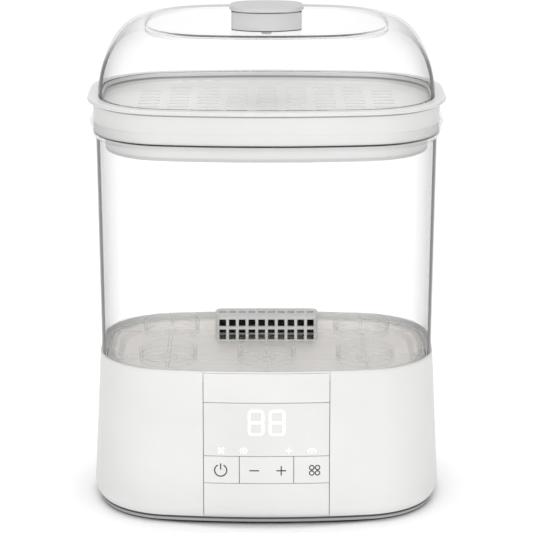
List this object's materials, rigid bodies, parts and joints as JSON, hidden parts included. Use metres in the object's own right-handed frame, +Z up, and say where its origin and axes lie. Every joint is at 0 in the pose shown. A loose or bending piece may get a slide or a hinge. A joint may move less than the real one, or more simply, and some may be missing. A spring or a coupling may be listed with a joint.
{
  "type": "bottle sterilizer",
  "caption": "Tall oval steam sterilizer and dryer for baby bottles, with a clear chamber on a white base, an accessory tray and a domed lid with a knob.",
  "frame": {"origin": "on the resting surface, under the centre of the base", "axes": "+Z up, front panel towards -Y, +X to the right as seen from the front"},
  "size_m": [0.2792, 0.1832, 0.399],
  "materials": {
    "white_plastic": "satin moulded",
    "panel_plastic": "satin",
    "display_plastic": "satin, translucent over the lamps",
    "base_grey": "fine texture",
    "knob_grey": "satin",
    "clear_plastic": "clear polished",
    "rubber_grey": "matt",
    "silicone": "matt",
    "plate_steel": "brushed",
    "fastener_steel": "plated",
    "heater_metal": "mill",
    "brass_pins": "plated",
    "duct_plastic": "moulded",
    "filter_foam": "pleated",
    "board_green": "solder mask",
    "black_parts": "moulded",
    "lamp_white": "diffusing",
    "wire_red": "insulation",
    "ribbon_grey": "insulation"
  },
  "bodies": {
    "base": {"bottom_cover": "base_grey", "rubber_feet": "rubber_grey", "cover_screws": "fastener_steel", "base_housing": "white_plastic", "heating_plate": "plate_steel", "plate_seal": "silicone", "plate_studs": "fastener_steel", "plate_brackets": "fastener_steel", "plate_nuts": "fastener_steel", "heating_element": "heater_metal", "thermostat": "black_parts", "temperature_sensor": "fastener_steel", "thermal_fuse": "fastener_steel", "heat_shield": "heater_metal", "outlet_hood": "white_plastic", "air_duct": "duct_plastic", "air_heater": "heater_metal", "fan_housing": "duct_plastic", "fan_motor": "fastener_steel", "intake_duct": "duct_plastic", "air_filter": "filter_foam", "control_board": "board_green", "power_board": "board_green", "board_screws": "fastener_steel", "control_chips": "black_parts", "transformer": "black_parts", "relay": "black_parts", "capacitors": "black_parts", "mains_fuse": "fastener_steel", "display_board": "board_green", "display_module": "black_parts", "indicator_lamps": "lamp_white", "key_switches": "black_parts", "panel_frame": "duct_plastic", "front_panel_top": "panel_plastic", "display_window": "display_plastic", "front_panel_lower": "panel_plastic", "power_inlet": "black_parts", "inlet_pins": "brass_pins", "mains_leads": "wire_red", "heater_leads": "wire_red", "fan_leads": "wire_red", "display_ribbon": "ribbon_grey"},
    "impeller": {"fan_impeller": "black_parts", "fan_shaft": "fastener_steel"},
    "filter_cover": {"filter_cover": "white_plastic"},
    "power_key": {"power_key": "panel_plastic"},
    "timer_rocker": {"timer_rocker": "panel_plastic"},
    "mode_key": {"mode_key": "panel_plastic"},
    "rack": {"bottle_rack": "clear_plastic", "rack_cups": "clear_plastic"},
    "chamber": {"chamber": "clear_plastic"},
    "tray": {"accessory_tray": "white_plastic"},
    "lid": {"lid_dome": "clear_plastic", "knob_stem": "knob_grey", "knob_cap": "knob_grey", "knob_screw": "fastener_steel"}
  },
  "joints": [
    {"name": "chamber_lift", "type": "slide", "parent": "base", "child": "chamber", "axis": [0, 0, 1], "range_m": [0, 0.08]},
    {"name": "tray_lift", "type": "slide", "parent": "chamber", "child": "tray", "axis": [0, 0, 1], "range_m": [0, 0.06]},
    {"name": "lid_lift", "type": "slide", "parent": "tray", "child": "lid", "axis": [0, 0, 1], "range_m": [0, 0.1]},
    {"name": "rack_lift", "type": "slide", "parent": "base", "child": "rack", "axis": [0, 0, 1], "range_m": [0, 0.1]},
    {"name": "filter_cover_pull", "type": "slide", "parent": "base", "child": "filter_cover", "axis": [0, 1, 0], "range_m": [0, 0.03]},
    {"name": "power_key_press", "type": "slide", "parent": "base", "child": "power_key", "axis": [0, 1, 0], "range_m": [0, 0.0008], "stiffness_N_per_m": 800},
    {"name": "mode_key_press", "type": "slide", "parent": "base", "child": "mode_key", "axis": [0, 1, 0], "range_m": [0, 0.0008], "stiffness_N_per_m": 800},
    {"name": "timer_rocker_tilt", "type": "hinge", "parent": "base", "child": "timer_rocker", "pos_m": [0.00075, -0.0852, 0.047], "axis": [0, 0, 1], "range_deg": [-2, 2], "stiffness_Nm_per_rad": 0.5},
    {"name": "fan_spin", "type": "hinge", "parent": "base", "child": "impeller", "pos_m": [0, 0.04, 0.047], "axis": [0, 1, 0], "continuous": true}
  ]
}
